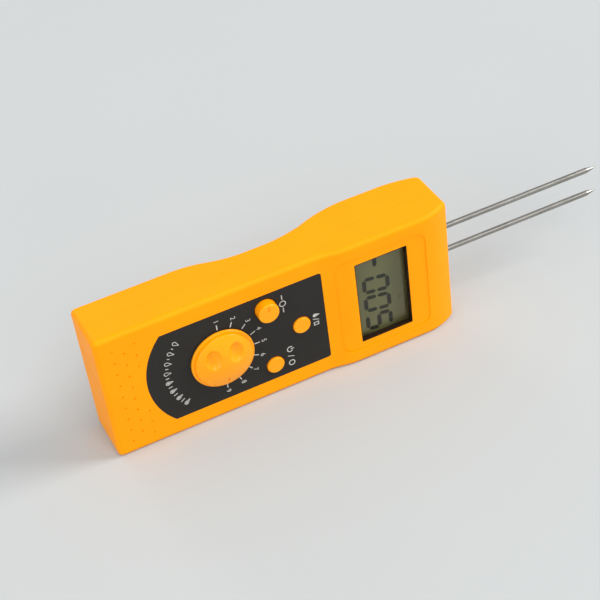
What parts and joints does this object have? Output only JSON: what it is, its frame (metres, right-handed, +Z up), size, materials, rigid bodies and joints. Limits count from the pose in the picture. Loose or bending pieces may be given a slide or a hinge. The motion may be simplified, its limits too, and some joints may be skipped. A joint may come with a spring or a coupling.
{
  "type": "moisture meter",
  "caption": "Handheld pin moisture meter: waisted plastic case, selector knob, zero trimmer, push buttons, recessed display, sliding battery door and a pair of long steel probe pins.",
  "frame": {"origin": "the middle of the long narrow side that the meter rests on: half way along the case, half way through the grip", "axes": "+X from the battery end towards the probe pins; -Y out of the control panel; +Z up"},
  "size_m": [0.2445, 0.0346, 0.0625],
  "materials": {
    "case_plastic": "fine satin moulded",
    "label_film": "matte printed film",
    "knob_plastic": "smooth moulded",
    "steel_pin": "ground",
    "plated_steel": "zinc plated",
    "brass_part": "plain",
    "clear_plastic": "clear",
    "lcd": "satin glass",
    "black_plastic": "matte",
    "white_plastic": "matte",
    "zebra_rubber": "matte",
    "circuit_board": "solder mask",
    "battery_skin": "printed jacket",
    "foam": "open cell",
    "wire_red": "smooth",
    "wire_black": "smooth"
  },
  "bodies": {
    "case": {"front_case": "case_plastic", "rear_case": "case_plastic", "battery_9v": "battery_skin", "battery_studs": "plated_steel", "battery_snap": "black_plastic", "battery_wire_red": "wire_red", "battery_wire_black": "wire_black", "panel_label": "label_film", "code_switch_body": "black_plastic", "code_switch_nut": "plated_steel", "code_switch_lugs": "brass_part", "zero_trimmer_body": "black_plastic", "power_switch_body": "black_plastic", "mode_switch_body": "black_plastic", "lens_gasket": "black_plastic", "lcd_window": "clear_plastic", "lcd_glass": "lcd", "lcd_frame": "white_plastic", "zebra_strip_lower": "zebra_rubber", "zebra_strip_upper": "zebra_rubber", "main_board": "circuit_board", "main_chip": "black_plastic", "small_parts": "white_plastic", "capacitors": "black_plastic", "case_screws": "plated_steel", "board_screws": "plated_steel", "probe_pin_lower": "steel_pin", "probe_pin_upper": "steel_pin", "probe_wire_lower": "wire_black", "probe_wire_upper": "wire_red", "probe_block": "black_plastic", "probe_nuts": "brass_part", "probe_lugs": "plated_steel"},
    "code_knob_set": {"code_knob": "knob_plastic", "code_switch_shaft": "plated_steel"},
    "zero_knob_set": {"zero_knob": "knob_plastic", "zero_trimmer_shaft": "white_plastic"},
    "power_button_set": {"power_button": "knob_plastic", "power_switch_plunger": "white_plastic"},
    "mode_button_set": {"mode_button": "knob_plastic", "mode_switch_plunger": "white_plastic"},
    "battery_door_set": {"battery_door": "case_plastic", "battery_foam": "foam"}
  },
  "joints": [
    {"name": "code_knob_turn", "type": "hinge", "parent": "case", "child": "code_knob_set", "pos_m": [-0.0288, -0.0128, 0.03125], "axis": [0, -1, 0], "range_deg": [0, 180]},
    {"name": "zero_knob_turn", "type": "hinge", "parent": "case", "child": "zero_knob_set", "pos_m": [-0.007, -0.0128, 0.0468], "axis": [0, -1, 0], "range_deg": [-140, 140]},
    {"name": "power_button_press", "type": "slide", "parent": "case", "child": "power_button_set", "axis": [0, 1, 0], "range_m": [0, 0.00045], "stiffness_N_per_m": 900, "springref_m": -0.0008},
    {"name": "mode_button_press", "type": "slide", "parent": "case", "child": "mode_button_set", "axis": [0, 1, 0], "range_m": [0, 0.00045], "stiffness_N_per_m": 900, "springref_m": -0.0008},
    {"name": "battery_door_slide", "type": "slide", "parent": "case", "child": "battery_door_set", "axis": [-1, 0, 0], "range_m": [0, 0.045]}
  ]
}
